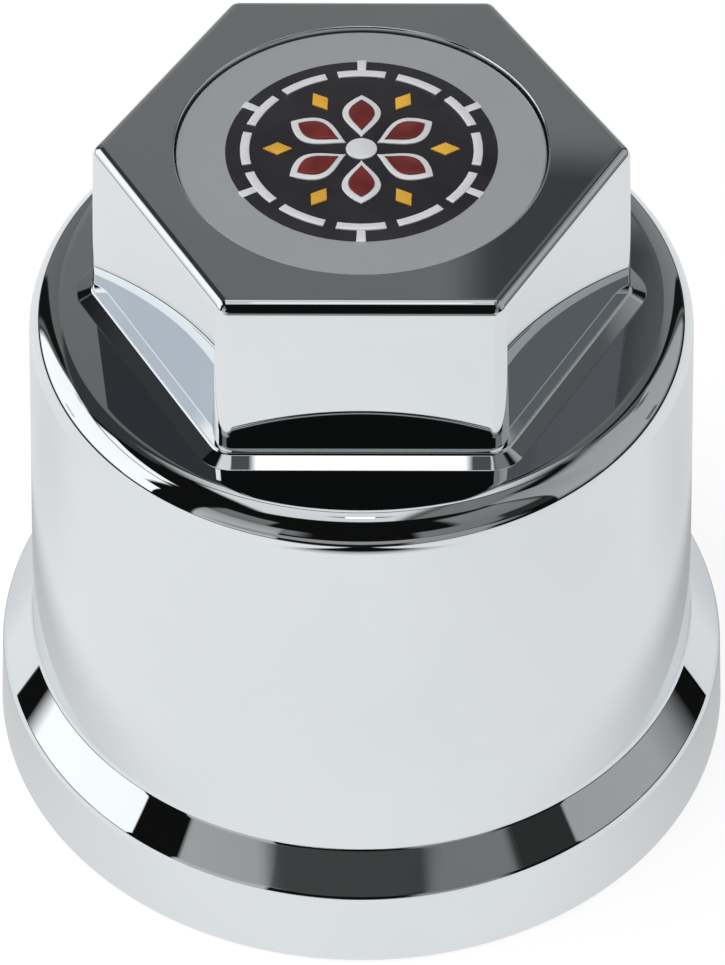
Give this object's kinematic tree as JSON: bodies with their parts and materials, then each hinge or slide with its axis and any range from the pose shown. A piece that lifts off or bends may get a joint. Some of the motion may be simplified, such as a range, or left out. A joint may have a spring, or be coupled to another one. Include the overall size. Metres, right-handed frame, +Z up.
{
  "type": "lug nut cap",
  "caption": "Chrome-plated push-on cover for a truck wheel nut: drafted round skirt with a stepped flange, hexagon head with a round disc inset in its crown, grip ribs inside.",
  "frame": {"origin": "centre of the flange's base, on the plane that the cap stands on", "axes": "+Z up along the cap's axis, from the open base to the crown; a flat of the head faces -Y"},
  "size_m": [0.052, 0.052, 0.0508],
  "materials": {
    "mirror_chrome": "mirror-bright chrome plating on moulded plastic",
    "satin_badge": "satin silver face with a dark printed roundel"
  },
  "bodies": {
    "root": {"cap_shell": "mirror_chrome", "badge_disc": "satin_badge"}
  },
  "joints": []
}
